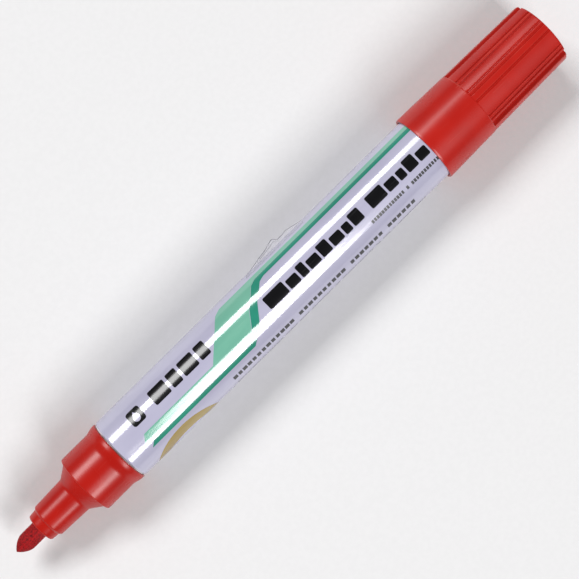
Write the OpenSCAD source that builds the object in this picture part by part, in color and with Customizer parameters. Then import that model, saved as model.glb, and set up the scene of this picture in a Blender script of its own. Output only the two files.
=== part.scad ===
// Whiteboard marker with an aluminium barrel, a bullet nib and its cap posted on the rear.
// The pen lies along X with the nib towards -X and the cap's closed end towards +X.
// The origin is under the middle of its length, on the surface that the cap's lip touches.
// Distances along the pen are measured from the nib's tip, and radii from the pen's axis.

/* [Barrel] */
// Outer diameter of the barrel over its printed film
barrel_d = 15; // [14:0.1:16]
// Length of the aluminium tube, from its rim to its closed end
tube_len = 102.1; // [80:0.1:120]
// Wall thickness of the aluminium tube
tube_wall = 0.4; // [0.3:0.05:0.6]
// Thickness of the printed film
film_t = 0.1; // [0.05:0.01:0.15]
// Length of the straight, necked rim at the tube's mouth
neck_len = 0.5; // [0.4:0.1:1]
// Length of the rounded shoulder behind the rim
shoulder_len = 1; // [0.6:0.1:2]
// How far the rim is necked in
neck_in = 0.2; // [0.1:0.05:0.3]

/* [Nib] */
// Diameter of the fibre nib
nib_d = 4; // [3.5:0.1:4.6]
// Whole length of the fibre nib
nib_len = 41; // [38:0.5:44]
// Length of its bullet point
bullet_len = 3.5; // [2.5:0.1:4.5]
// How far the nib stands out of its holder
nib_out = 6.95; // [5:0.05:8]

/* [Front section] */
// Diameter of the holder at its front face
holder_tip_d = 6.7; // [6.4:0.1:7]
// Diameter of the holder where it meets the cone
holder_d = 8.58; // [8.2:0.02:8.6]
// Length of the holder, from its front face to the cone
holder_len = 10.1; // [8:0.1:12]
// Length of the cone between the holder and the collar
cone_len = 2.92; // [2:0.02:4]
// Diameter of the collar that the closed cap slides over
collar_d = 14.16; // [13.8:0.02:14.3]
// Length of the collar's straight part
collar_len = 7.4; // [6:0.1:9]
// Length of the flared stop flange behind it
flange_len = 2.7; // [2:0.1:4]

/* [Reservoir] */
// Diameter of the fibre ink reservoir in its film
reservoir_d = 13; // [12:0.1:13]
// Length of the fibre ink reservoir
reservoir_len = 94; // [70:1:95]
// Thickness of the film around the reservoir
sheath_t = 0.15; // [0.1:0.05:0.3]

/* [Cap] */
// Length of the cap
cap_len = 35.05; // [34:0.05:40]
// Diameter of the cap over its lip
lip_d = 16.46; // [16.3:0.02:17]
// Length of the smooth skirt, from the lip to the step
skirt_len = 13.4; // [13.4:0.1:16]
// Diameter of the skirt where it meets the grip
skirt_d = 15.9; // [15.8:0.02:16.2]
// Diameter of the grip just behind the step
grip_d = 15.74; // [15.6:0.02:15.8]
// Diameter of the grip at the cap's closed end
grip_end_d = 15.08; // [15:0.02:15.5]
// How far the barrel goes into the posted cap
post_depth = 12.5; // [8:0.1:12.5]
// Radial clearance between the cap's bore and the barrel
post_fit = 0.05; // [0.02:0.01:0.1]
// Wall thickness of the inner cap that seals the nib
seal_wall = 0.85; // [0.6:0.05:1]

/* [Hidden] */
$fn = 96;
eps = 0.01;

// Colours
aluminium = [0.78, 0.79, 0.81];
film = [0.86, 0.86, 0.95];
red = [0.78, 0.14, 0.12];
dark_red = [0.42, 0.08, 0.08];
inked = [0.62, 0.10, 0.12];
clear_film = [0.93, 0.93, 0.93];
milky = [0.92, 0.90, 0.88];

// Front section, from the nib's tip backwards
face_x = nib_out;
cone_x = face_x + holder_len;
collar_x = cone_x + cone_len;
flare_x = collar_x + collar_len;
rim_x = flare_x + flange_len;
step_x = face_x + 1.9;              // small step behind the holder's front face
step_len = 0.5;
step_rise = 0.45;                   // rise in radius over that step
face_r = holder_tip_d / 2;
holder_r = holder_d / 2;
collar_r = collar_d / 2;
flange_r = barrel_d / 2 + 0.03;
cone_end_r = collar_r - 0.76;       // the cone meets the collar's front face here
face_round = 0.4;
corner_r = 0.3;
lip_len = 0.9;                      // straight lip of the flange

// Barrel
barrel_r = barrel_d / 2;
tube_r = barrel_r - film_t;
bore_r = tube_r - tube_wall;
tube_end_x = rim_x + tube_len;
shoulder_x = rim_x + neck_len;
shoulder_end_x = shoulder_x + shoulder_len;
film_lap = 0.2;                     // the film starts this far up the shoulder, of 1
film_end_x = tube_end_x - 2;
end_corner_r = 1.4;
dish_r = 4.8;                       // shallow dish pressed into the closed end
dish_deep = 0.5;

// Plug of the front section inside the tube
plug_gap = 0.02;
ledge_x = rim_x + 3;                // the reservoir stops against this ledge
plug_end_x = rim_x + 10.5;
socket_r = reservoir_d / 2 + 0.04;

// Nib
nib_r = nib_d / 2;
nib_fit = 0.03;
nib_tail_len = 1.2;                 // tapered rear end that pierces the reservoir
sleeve_r = nib_r + 1.25;            // tube inside the collar that holds the nib
cavity_x = cone_x + 4.5;
vent_w = 0.7;
vent_deep = 0.35;

// Reservoir
core_x = ledge_x + 0.1;
core_end_x = core_x + reservoir_len;
core_r = reservoir_d / 2 - sheath_t;
wick_hole_end = nib_len + 0.1;

// Cap, with s measured from its lip
cap_x = tube_end_x - post_depth;
total_len = cap_x + cap_len;
lip_r = lip_d / 2;
cap_bore_r = barrel_r + post_fit;
stop_s = 12.85;                     // shoulder behind the posted barrel
seat_r = 6.2;                       // seat of the inner cap's flange
seat_len = 1.15;
core_hollow_r = 5.8;
end_wall = 1.45;
end_round = 0.35;
end_dish_r = 5.2;
end_dish_deep = 0.3;
seal_r = holder_r + 0.04;
seal_flange_len = 1;
seal_len = 19.6;

// Grooves along the grip, each as its angle from the top, its width in degrees and its depth.
// They cover half of the cap and repeat on the other half.
grooves = [[-70, 14, 0.8], [-42, 2.5, 0.3], [-34, 4, 0.35], [-16, 2.5, 0.3], [-9, 2.5, 0.3],
           [5, 3, 0.35], [36, 2.5, 0.3], [44, 3, 0.35], [57, 13, 0.8]];

// Points of a circular arc about [r, x], from angle a0 to a1
function arc(r, x, radius, a0, a1, steps = 6) =
    [for (i = [0:steps]) let (a = a0 + (a1 - a0) * i / steps)
        [r + radius * cos(a), x + radius * sin(a)]];

// Points along the tube's rounded shoulder, set in from a radius, from share t0 to t1 of its length
function shoulder(r, t0, t1, steps = 5) =
    [for (i = [0:steps]) let (t = t0 + (t1 - t0) * i / steps)
        [r - neck_in * (1 - sin(90 * t)), shoulder_x + shoulder_len * t]];

// Points along the flange's hollow flare
function flare(steps = 5) =
    [for (i = [0:steps]) let (t = i / steps)
        [collar_r + (flange_r - collar_r) * (1 - cos(90 * t)),
         flare_x + (flange_len - lip_len) * t]];

// Radius of the bullet point at a distance from the tip
function bullet(x) = nib_r * sin(90 * pow(x / bullet_len, 0.85));

// Lays the pen along X, nib first, with its axis at the height of the cap's lip
module lay_down() {
    translate([-total_len / 2, 0, lip_r]) rotate([0, 90, 0]) children();
}

// Solid of revolution from points of [radius, distance from the nib's tip]
module turned(points) {
    rotate_extrude() polygon(points);
}

// Moves the cap's pieces from their own lip to their place on the pen
module on_cap() {
    lay_down() translate([0, 0, cap_x]) children();
}

module barrel_tube() {
    color(aluminium) lay_down() turned(concat(
        [[bore_r - neck_in, rim_x], [tube_r - neck_in - 0.08, rim_x],
         [tube_r - neck_in, rim_x + 0.12]],
        shoulder(tube_r, 0, 1),
        arc(tube_r - end_corner_r, tube_end_x - end_corner_r, end_corner_r, 0, 90),
        [[dish_r + 0.4, tube_end_x], [dish_r, tube_end_x - dish_deep],
         [0, tube_end_x - dish_deep], [0, tube_end_x - dish_deep - tube_wall],
         [dish_r + 0.2, tube_end_x - dish_deep - tube_wall],
         [dish_r + 0.5, tube_end_x - tube_wall]],
        arc(tube_r - end_corner_r, tube_end_x - end_corner_r, end_corner_r - tube_wall, 90, 0),
        shoulder(bore_r, 1, 0)));
}

module wrap_label() {
    color(film) lay_down() turned(concat(
        shoulder(barrel_r, film_lap, 1),
        [[barrel_r, film_end_x], [tube_r, film_end_x]],
        shoulder(tube_r, 1, film_lap)));
}

// Outer form of the front section and its plug, before the hollows
module front_outline() {
    turned(concat(
        [[0, face_x]],
        arc(face_r - face_round, face_x + face_round, face_round, -90, 0, 4),
        [[face_r + 0.2, step_x], [face_r + 0.2 + step_rise, step_x + step_len],
         [holder_r, cone_x], [cone_end_r, collar_x]],
        arc(collar_r - corner_r, collar_x + corner_r, corner_r, -90, 0, 4),
        flare(),
        arc(flange_r - corner_r, rim_x - corner_r, corner_r, 0, 90, 4),
        [[bore_r - neck_in - plug_gap, rim_x], [bore_r - neck_in - plug_gap, shoulder_x],
         [bore_r - plug_gap, shoulder_end_x + 0.3],
         [bore_r - plug_gap, plug_end_x - 0.6], [bore_r - 0.3, plug_end_x], [0, plug_end_x]]));
}

// Narrow air channels that run along the nib's bore
module air_channels() {
    for (turn = [0:90:270]) rotate([0, 0, turn])
        translate([nib_r - 0.5, -vent_w / 2, face_x + 1])
            cube([0.5 + nib_fit + vent_deep, vent_w, ledge_x - face_x]);
}

// Fins that stand the reservoir off the collar's inside
module support_fins() {
    for (turn = [45:90:315]) rotate([0, 0, turn])
        translate([sleeve_r - 0.1, -0.4, cavity_x + 3])
            cube([collar_r - sleeve_r - 1.4, 0.8, ledge_x - cavity_x - 3]);
}

module front_section() {
    color(red) lay_down() {
        difference() {
            front_outline();
            translate([0, 0, face_x - eps])
                cylinder(r = nib_r + nib_fit, h = plug_end_x - face_x);
            air_channels();
            translate([0, 0, ledge_x]) cylinder(r = socket_r, h = plug_end_x);
            translate([0, 0, cavity_x]) difference() {
                cylinder(r = collar_r - 1.2, h = ledge_x - cavity_x + eps);
                translate([0, 0, -eps]) cylinder(r = sleeve_r, h = plug_end_x);
            }
        }
        support_fins();
    }
}

module nib() {
    color(dark_red) lay_down() turned(concat(
        [for (i = [0:10]) [bullet(bullet_len * i / 10), bullet_len * i / 10]],
        [[nib_r, nib_len - nib_tail_len], [nib_r * 0.45, nib_len], [0, nib_len]]));
}

module ink_reservoir() {
    color(inked) lay_down() difference() {
        translate([0, 0, core_x]) cylinder(r = core_r, h = reservoir_len);
        translate([0, 0, core_x - eps])
            cylinder(r = nib_r + nib_fit, h = wick_hole_end - core_x + eps);
    }
}

module reservoir_sheath() {
    color(clear_film) lay_down() translate([0, 0, core_x]) difference() {
        cylinder(r = core_r + sheath_t, h = reservoir_len);
        translate([0, 0, -eps]) cylinder(r = core_r, h = reservoir_len + 2 * eps);
    }
}

// One groove along the grip, from just behind the step to past the closed end
module grip_groove(angle, width, depth) {
    wide = 2 * grip_d / 2 * tan(width / 2);
    rotate([0, 0, 180 + angle])
        translate([grip_d / 2 - depth, -wide / 2, skirt_len + 0.15])
            rotate([0, atan((grip_end_d - grip_d) / 2 / (cap_len - skirt_len)), 0])
                cube([grip_d, wide, cap_len]);
}

module cap_shell() {
    color(red) on_cap() difference() {
        turned(concat(
            [[cap_bore_r + 0.2, 0], [lip_r - 0.18, 0], [lip_r, 0.25],
             [skirt_d / 2, skirt_len], [grip_d / 2, skirt_len + 0.1]],
            arc(grip_end_d / 2 - end_round, cap_len - end_round, end_round, 0, 90, 4),
            [[end_dish_r, cap_len], [end_dish_r - 0.2, cap_len - end_dish_deep],
             [0, cap_len - end_dish_deep], [0, cap_len - end_wall],
             [core_hollow_r, cap_len - end_wall], [core_hollow_r, stop_s + seat_len],
             [seat_r, stop_s + seat_len], [seat_r, stop_s], [cap_bore_r, stop_s],
             [cap_bore_r, 0.5]]));
        for (half = [0, 180]) for (g = grooves) grip_groove(g[0] + half, g[1], g[2]);
    }
}

module inner_cap() {
    color(milky) on_cap() translate([0, 0, stop_s + 0.1]) turned([
        [seal_r + 0.9, 0], [seat_r - 0.02, 0], [seat_r - 0.02, seal_flange_len],
        [seal_r + seal_wall, seal_flange_len], [seal_r + seal_wall, seal_len - 0.8],
        [seal_r + seal_wall - 0.8, seal_len], [0, seal_len], [0, seal_len - seal_wall],
        [seal_r - 0.5, seal_len - seal_wall], [seal_r, seal_len - seal_wall - 0.5],
        [seal_r, 1.2]]);
}

barrel_tube();
wrap_label();
front_section();
nib();
ink_reservoir();
reservoir_sheath();
cap_shell();
inner_cap();
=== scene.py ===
"""Studio model of a whiteboard marker with its cap posted on the rear.

The pen lies along X with its nib towards -X. A place on it is given as a
distance along the pen from the nib's tip, a radius from the pen's axis and a
turn round that axis, which is 0 at the top and grows towards -Y. Sizes are
millimetres until a mesh is made, and meshes are metres.
"""

import logging
import math
from collections.abc import Callable, Sequence
from dataclasses import dataclass
from enum import Enum

import bmesh
import bpy
from mathutils import Matrix, Vector, noise


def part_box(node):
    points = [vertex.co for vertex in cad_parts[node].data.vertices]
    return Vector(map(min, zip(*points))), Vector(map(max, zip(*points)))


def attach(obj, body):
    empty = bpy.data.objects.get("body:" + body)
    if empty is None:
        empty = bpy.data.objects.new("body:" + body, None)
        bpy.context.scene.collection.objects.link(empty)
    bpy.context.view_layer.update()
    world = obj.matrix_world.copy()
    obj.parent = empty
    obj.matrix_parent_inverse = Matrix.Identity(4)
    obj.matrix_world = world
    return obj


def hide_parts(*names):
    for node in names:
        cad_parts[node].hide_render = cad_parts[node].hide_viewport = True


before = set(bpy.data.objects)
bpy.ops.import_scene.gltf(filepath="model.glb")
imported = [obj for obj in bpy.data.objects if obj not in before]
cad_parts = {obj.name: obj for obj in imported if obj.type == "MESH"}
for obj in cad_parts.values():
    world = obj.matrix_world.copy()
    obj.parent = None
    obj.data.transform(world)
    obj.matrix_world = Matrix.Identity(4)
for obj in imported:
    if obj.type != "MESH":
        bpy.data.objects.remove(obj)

log = logging.getLogger("marker")

MM = 0.001
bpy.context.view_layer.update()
SHARP_DEG = 35.0
ON_AXIS = 1e-6

Ring = tuple[float, float]
Colour = tuple[float, float, float]
Socket = bpy.types.NodeSocket
Inputs = dict[str | int, object]


# ---------------------------------------------------------------- the frame


@dataclass(frozen=True)
class PenAxis:
    """The pen's axis in the frame, and the lengths that the frame gives.

    Args:
        tip_x: X of the nib's tip, in metres.
        height: Z of the pen's axis, in metres.
        rim: Distance from the nib's tip to the tube's rim, in millimetres.
        tube_end: Distance to the tube's closed end.
        mouth: Distance to the mouth of the posted cap.
        end: Distance to the cap's closed end.
    """

    tip_x: float
    height: float
    rim: float
    tube_end: float
    mouth: float
    end: float

    @classmethod
    def from_frame(cls) -> "PenAxis":
        """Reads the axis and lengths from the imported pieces.

        Returns:
            The axis.
        """
        nib_low, nib_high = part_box("nib")
        tube_low, tube_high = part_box("barrel_tube")
        cap_low, cap_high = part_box("cap_shell")

        def along(x: float) -> float:
            """Millimetres from the nib's tip to a place in the frame."""
            return (x - nib_low.x) / MM

        return cls(
            nib_low.x, (nib_low.z + nib_high.z) / 2,
            along(tube_low.x), along(tube_high.x), along(cap_low.x), along(cap_high.x),
        )

    def point(self, along: float, radius: float, turn: float) -> Vector:
        """A point in the frame, in metres.

        Args:
            along: Distance from the nib's tip, in millimetres.
            radius: Distance from the axis, in millimetres.
            turn: Angle from the top towards -Y, in radians.

        Returns:
            The point's place in the frame.
        """
        return Vector((
            self.tip_x + along * MM,
            -radius * MM * math.sin(turn),
            self.height + radius * MM * math.cos(turn),
        ))


AXIS = PenAxis.from_frame()


# ---------------------------------------------------------------- meshes


@dataclass(frozen=True)
class Corner:
    """A corner of a turned outline.

    Args:
        along: Distance from the nib's tip, in millimetres.
        radius: Distance from the axis, in millimetres.
        soft: How far the rounding reaches along each neighbouring edge.
    """

    along: float
    radius: float
    soft: float = 0.0


def rounded(corners: Sequence[Corner], closed: bool = True, steps: int = 6) -> list[Ring]:
    """Rounds the corners of a turned outline.

    Args:
        corners: The outline's corners in order.
        closed: Whether the last corner joins the first.
        steps: Points in each rounding.

    Returns:
        The outline as (distance along, radius) pairs.
    """
    support = 0.05
    rings: list[Ring] = []
    count = len(corners)
    for i, corner in enumerate(corners):
        here = Vector((corner.along, corner.radius))
        ends = not closed and i in (0, count - 1)
        if corner.soft <= 0 or ends:
            rings.append((here.x, here.y))
            continue
        before = Vector((corners[i - 1].along, corners[i - 1].radius)) - here
        ahead = corners[(i + 1) % count]
        after = Vector((ahead.along, ahead.radius)) - here
        reach = min(corner.soft, before.length * 0.45, after.length * 0.45)
        first, last = here + before.normalized() * reach, here + after.normalized() * reach
        if before.length > reach * 2 + support:
            lead = first + before.normalized() * support
            rings.append((lead.x, lead.y))
        for step in range(steps + 1):
            t = step / steps
            spot = first * (1 - t) ** 2 + here * 2 * t * (1 - t) + last * t ** 2
            rings.append((spot.x, spot.y))
        if after.length > reach * 2 + support:
            tail = last + after.normalized() * support
            rings.append((tail.x, tail.y))
    return rings


def cornered(points: Sequence[tuple[float, ...]], closed: bool = False) -> list[Ring]:
    """An outline of (along, radius, corner) points, with its corners rounded."""
    return rounded([Corner(*point) for point in points], closed=closed)


def spaced(rings: Sequence[Ring], longest: float, closed: bool = True) -> list[Ring]:
    """Splits long edges of an outline, so that its normals stay true.

    Args:
        rings: The outline.
        longest: The longest edge that may stay, in millimetres.
        closed: Whether the last point joins the first.

    Returns:
        The outline with points added.
    """
    out: list[Ring] = []
    pairs = list(zip(rings, list(rings[1:]) + ([rings[0]] if closed else [])))
    for (a_along, a_radius), (b_along, b_radius) in pairs:
        length = math.hypot(b_along - a_along, b_radius - a_radius)
        on_axis = max(a_radius, b_radius) < ON_AXIS
        parts = 1 if on_axis else max(1, math.ceil(length / longest))
        for k in range(parts):
            t = k / parts
            out.append((a_along + (b_along - a_along) * t, a_radius + (b_radius - a_radius) * t))
    if not closed:
        out.append(rings[-1])
    return out


def linked(name: str, data: bpy.types.ID) -> bpy.types.Object:
    """Puts new data into the scene as an object.

    Args:
        name: The object's name.
        data: Its mesh, light or camera.

    Returns:
        The new object, at the origin.
    """
    piece = bpy.data.objects.new(name, data)
    bpy.context.scene.collection.objects.link(piece)
    return piece


def posed(
    name: str, data: bpy.types.ID, place: Vector, axes: tuple[Vector, Vector, Vector]
) -> bpy.types.Object:
    """Puts a light or a camera into the scene.

    Args:
        name: The object's name.
        data: The light or camera.
        place: Where it stands, in metres.
        axes: The directions of its own X, Y and Z.

    Returns:
        The new object.
    """
    piece = linked(name, data)
    piece.matrix_world = Matrix.Translation(place) @ Matrix(axes).transposed().to_4x4()
    return piece


def shown(name: str, mesh: bpy.types.Mesh, sharp_deg: float = SHARP_DEG) -> bpy.types.Object:
    """Puts a mesh into the scene, shaded smooth but for its sharp edges.

    Args:
        name: The piece's name.
        mesh: Its mesh.
        sharp_deg: Edges that bend more than this stay sharp.

    Returns:
        The new object, at the origin.
    """
    mesh.polygons.foreach_set("use_smooth", [True] * len(mesh.polygons))
    mesh.set_sharp_from_angle(angle=math.radians(sharp_deg))
    return linked(name, mesh)


def finish_mesh(name: str, bm: bmesh.types.BMesh, sharp_deg: float = SHARP_DEG) -> bpy.types.Object:
    """Turns a bmesh into an object with smooth shading.

    Args:
        name: The piece's name.
        bm: The mesh, which is freed.
        sharp_deg: Edges that bend more than this stay sharp.

    Returns:
        The new object, at the origin.
    """
    bmesh.ops.recalc_face_normals(bm, faces=bm.faces)
    mesh = bpy.data.meshes.new(name)
    bm.to_mesh(mesh)
    bm.free()
    return shown(name, mesh, sharp_deg)


def weld(piece: bpy.types.Object) -> bpy.types.Object:
    """Joins the points that lie on each other, and turns the faces outwards.

    Args:
        piece: The piece, whose mesh is changed.

    Returns:
        The same piece.
    """
    bm = bmesh.new()
    bm.from_mesh(piece.data)
    bmesh.ops.remove_doubles(bm, verts=bm.verts, dist=1e-8)
    bmesh.ops.recalc_face_normals(bm, faces=bm.faces)
    bm.to_mesh(piece.data)
    bm.free()
    return piece


Shaper = Callable[[float, float, float], float]


def turned(
    name: str,
    rings: Sequence[Ring],
    segments: int = 192,
    closed: bool = True,
    gap_deg: float = 0.0,
    shaper: Shaper | None = None,
    sharp_deg: float = SHARP_DEG,
) -> bpy.types.Object:
    """Turns an outline round the pen's axis.

    Args:
        name: The piece's name.
        rings: The outline, as (distance along, radius) pairs.
        segments: Faces round the axis.
        closed: Whether the outline is a loop that doesn't touch the axis.
        gap_deg: Opening left at the bottom, in degrees, as at a film's seam.
        shaper: Gives a changed radius for (along, radius, turn), if it is set.
        sharp_deg: Edges that bend more than this stay sharp.

    Returns:
        The new object.
    """
    bm = bmesh.new()
    gap = math.radians(gap_deg)
    columns = segments + 1 if gap_deg else segments
    turns = [math.pi + gap / 2 + (math.tau - gap) * k / segments for k in range(columns)]
    loops: list[list[bmesh.types.BMVert]] = []
    for along, radius in rings:
        if radius < ON_AXIS:
            loops.append([bm.verts.new(AXIS.point(along, 0, 0))])
            continue
        loops.append([
            bm.verts.new(AXIS.point(along, shaper(along, radius, t) if shaper else radius, t))
            for t in turns
        ])
    for low, high in zip(loops, loops[1:] + loops[:1] if closed else loops[1:]):
        if len(low) == len(high) == 1:
            continue
        for k in range(segments):
            n = (k + 1) % columns
            if len(low) == 1:
                bm.faces.new((low[0], high[n], high[k]))
            elif len(high) == 1:
                bm.faces.new((low[k], low[n], high[0]))
            else:
                bm.faces.new((low[k], low[n], high[n], high[k]))
    if gap_deg:
        for k in (0, columns - 1):
            bm.faces.new([loop[k] for loop in loops])
    return finish_mesh(name, bm, sharp_deg)


# ---------------------------------------------------------------- node helpers


class Nodes:
    """Adds nodes to one tree and joins them.

    Args:
        tree: A material's tree or a node group.
    """

    def __init__(self, tree: bpy.types.NodeTree) -> None:
        """Keeps the tree."""
        self.tree = tree

    def new(self, kind: str, values: Inputs | None = None, **settings: object) -> bpy.types.Node:
        """Adds a node.

        Args:
            kind: The node's type.
            values: What its inputs get, by their names or numbers.
            settings: The node's own settings, which are made first.

        Returns:
            The node.
        """
        node = self.tree.nodes.new(kind)
        for key, value in settings.items():
            setattr(node, key, value)
        self.feed_all(node.inputs, values or {})
        return node

    def feed(self, socket: Socket, value: object) -> None:
        """Links a socket to an input, or sets the input's own value.

        Args:
            socket: The input.
            value: A socket or a plain value.
        """
        if isinstance(value, bpy.types.NodeSocket):
            self.tree.links.new(value, socket)
        else:
            socket.default_value = value

    def feed_all(self, inputs: Sequence[Socket], values: Inputs) -> None:
        """Feeds several inputs, given by their names or numbers."""
        for key, value in values.items():
            self.feed(inputs[key], value)

    def math(self, operation: str, *values: object, clamp: bool = False) -> Socket:
        """The result of one operation, kept from 0 to 1 if it is clamped."""
        node = self.new("ShaderNodeMath", dict(enumerate(values)), operation=operation, use_clamp=clamp)
        return node.outputs[0]

    def plus(self, first: object, second: object) -> Socket:
        """The sum of two values."""
        return self.math("ADD", first, second)

    def minus(self, first: object, second: object) -> Socket:
        """The first value less the second."""
        return self.math("SUBTRACT", first, second)

    def times(self, first: object, second: object, clamp: bool = False) -> Socket:
        """One value multiplied by the other."""
        return self.math("MULTIPLY", first, second, clamp=clamp)

    def ramp(self, value: object, low: object, high: object) -> Socket:
        """A smooth mask that is 0 at low and 1 at high, with low above high for a falling one."""
        values = {"Value": value, "From Min": low, "From Max": high}
        return self.new("ShaderNodeMapRange", values, interpolation_type="SMOOTHSTEP").outputs["Result"]

    def remap(
        self, value: object, low: object, high: object, start: object = 0.0, end: object = 1.0
    ) -> Socket:
        """Carries values from start and end to low and high."""
        values = {"Value": value, "From Min": start, "From Max": end, "To Min": low, "To Max": high}
        return self.new("ShaderNodeMapRange", values).outputs["Result"]

    def noise(self, vector: object, scale: object, detail: float = 2.0) -> Socket:
        """A Noise Texture's factor."""
        values = {"Vector": vector, "Scale": scale, "Detail": detail}
        return self.new("ShaderNodeTexNoise", values).outputs["Fac"]

    def stretched(self, vector: object, scale: Sequence[float], turn: float = 0.0) -> Socket:
        """Coordinates scaled by axis, after a turn about Z in radians."""
        values = {"Vector": vector, "Scale": scale, "Rotation": (0, 0, turn)}
        return self.new("ShaderNodeMapping", values).outputs["Vector"]

    def mix(self, share: object, first: object, second: object) -> Socket:
        """A colour between two colours.

        Args:
            share: How far it is towards the second colour.
            first: The first colour, or its socket.
            second: The second colour, or its socket.

        Returns:
            The mixed colour.
        """
        node = self.new("ShaderNodeMix", {"Factor": share}, data_type="RGBA")
        for name, value in (("A", first), ("B", second)):
            socket = next(s for s in node.inputs if s.name == name and s.type == "RGBA")
            self.feed(socket, (*value, 1.0) if isinstance(value, tuple) else value)
        return next(s for s in node.outputs if s.type == "RGBA")

    def bump(self, height: Socket, strength: float, distance: float) -> Socket:
        """A Bump node's normal, with its distance in metres."""
        values = {"Strength": strength, "Distance": distance, "Height": height}
        return self.new("ShaderNodeBump", values).outputs["Normal"]

    def group(self, tree: bpy.types.NodeTree, **values: object) -> dict[str, Socket]:
        """Places a shared effect, whose inputs are named with a capital, and gives its outputs."""
        return self.new("ShaderNodeGroup", values, node_tree=tree).outputs


def add_socket(
    tree: bpy.types.NodeTree, name: str, output: bool, kind: str, value: object = None
) -> None:
    """Gives a group one input or output.

    Args:
        tree: The group.
        name: The socket's name.
        output: Whether it is an output.
        kind: Float, Vector, Color, Int, Geometry or Material.
        value: The input's default value, if any.
    """
    socket = tree.interface.new_socket(
        name=name, in_out="OUTPUT" if output else "INPUT", socket_type=f"NodeSocket{kind}"
    )
    if value is not None:
        socket.default_value = value


class EffectGroups:
    """The effects that several finishes share, each built once."""

    def __init__(self) -> None:
        """Builds the groups."""
        self.grain = self._grain()
        self.scratches = self._scratches()
        self.edge_highlight_and_wear = self._edge_highlight_and_wear()

    @staticmethod
    def _start(name: str, inputs: dict[str, float], outputs: Sequence[str]) -> tuple[Nodes, dict, dict]:
        """Makes an empty group.

        Args:
            name: The group's name.
            inputs: Names and default values of its number inputs.
            outputs: Names of its number outputs.

        Returns:
            The node helper, the inputs by name, and the outputs by name.
        """
        tree = bpy.data.node_groups.new(name, "ShaderNodeTree")
        add_socket(tree, "Vector", False, "Vector")
        for key, value in inputs.items():
            add_socket(tree, key, False, "Float", value)
        for key in outputs:
            add_socket(tree, key, True, "Float")
        nodes = Nodes(tree)
        source, sink = nodes.new("NodeGroupInput"), nodes.new("NodeGroupOutput")
        return nodes, source.outputs, sink.inputs

    def _grain(self) -> bpy.types.NodeTree:
        """Fine moulded grain over a slow unevenness.

        Returns:
            The group.
        """
        numbers = {"Scale": 3000.0, "Depth": 1.0}
        nodes, given, out = self._start("Fine grain", numbers, ("Height", "Mottle"))
        fine = nodes.noise(given["Vector"], given["Scale"], 3.0)
        slow = nodes.noise(given["Vector"], nodes.times(given["Scale"], 0.06))
        height = nodes.times(nodes.plus(nodes.times(fine, 0.35), slow), given["Depth"])
        nodes.feed_all(out, {"Height": height, "Mottle": nodes.ramp(slow, 0.3, 0.7)})
        return nodes.tree

    def _scratches(self) -> bpy.types.NodeTree:
        """Hair scratches in two directions, thinned out by broad patches.

        Returns:
            The group.
        """
        nodes, given, out = self._start("Hair scratches", {"Amount": 0.3}, ("Mask", "Patches"))
        along = nodes.noise(nodes.stretched(given["Vector"], (60, 5200, 5200), 0.12), 1.0, 1.0)
        across = nodes.noise(nodes.stretched(given["Vector"], (90, 4300, 4300), -0.7), 1.0, 1.0)
        lines = nodes.math("MAXIMUM", nodes.ramp(along, 0.70, 0.78), nodes.ramp(across, 0.73, 0.80))
        patches = nodes.ramp(nodes.noise(given["Vector"], 120.0, 3.0), 0.25, 0.75)
        mask = nodes.times(nodes.times(lines, patches), given["Amount"], clamp=True)
        nodes.feed_all(out, {"Mask": mask, "Patches": patches})
        return nodes.tree

    def _edge_highlight_and_wear(self) -> bpy.types.NodeTree:
        """Convex edges lightened by rubbing and by a painted edge highlight, broken up by noise.

        Returns:
            The group.
        """
        nodes, given, out = self._start("Edge highlight and wear", {"Amount": 0.5}, ("Mask",))
        bend = nodes.new("ShaderNodeNewGeometry").outputs["Pointiness"]
        broken = nodes.remap(nodes.noise(given["Vector"], 900.0, 3.0), 0.35, 1.0)
        # Convex edges by pointiness: rubbing and a painted edge highlight.
        rubbed_and_highlit = nodes.times(nodes.ramp(bend, 0.508, 0.56), broken)
        nodes.feed(out["Mask"], nodes.times(rubbed_and_highlit, given["Amount"], clamp=True))
        return nodes.tree


EFFECTS = EffectGroups()


# ---------------------------------------------------------------- finishes


def new_material(name: str) -> tuple[bpy.types.Material, Nodes, dict, Socket]:
    """Starts a material with a Principled shader.

    Args:
        name: The material's name.

    Returns:
        The material, its node helper, the shader's inputs and the object's coordinates.
    """
    material = bpy.data.materials.new(name)
    material.use_nodes = True
    material.node_tree.nodes.clear()
    nodes = Nodes(material.node_tree)
    shader = nodes.new("ShaderNodeBsdfPrincipled")
    nodes.new("ShaderNodeOutputMaterial", {"Surface": shader.outputs["BSDF"]})
    place = nodes.new("ShaderNodeTexCoord").outputs["Object"]
    return material, nodes, shader.inputs, place


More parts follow.
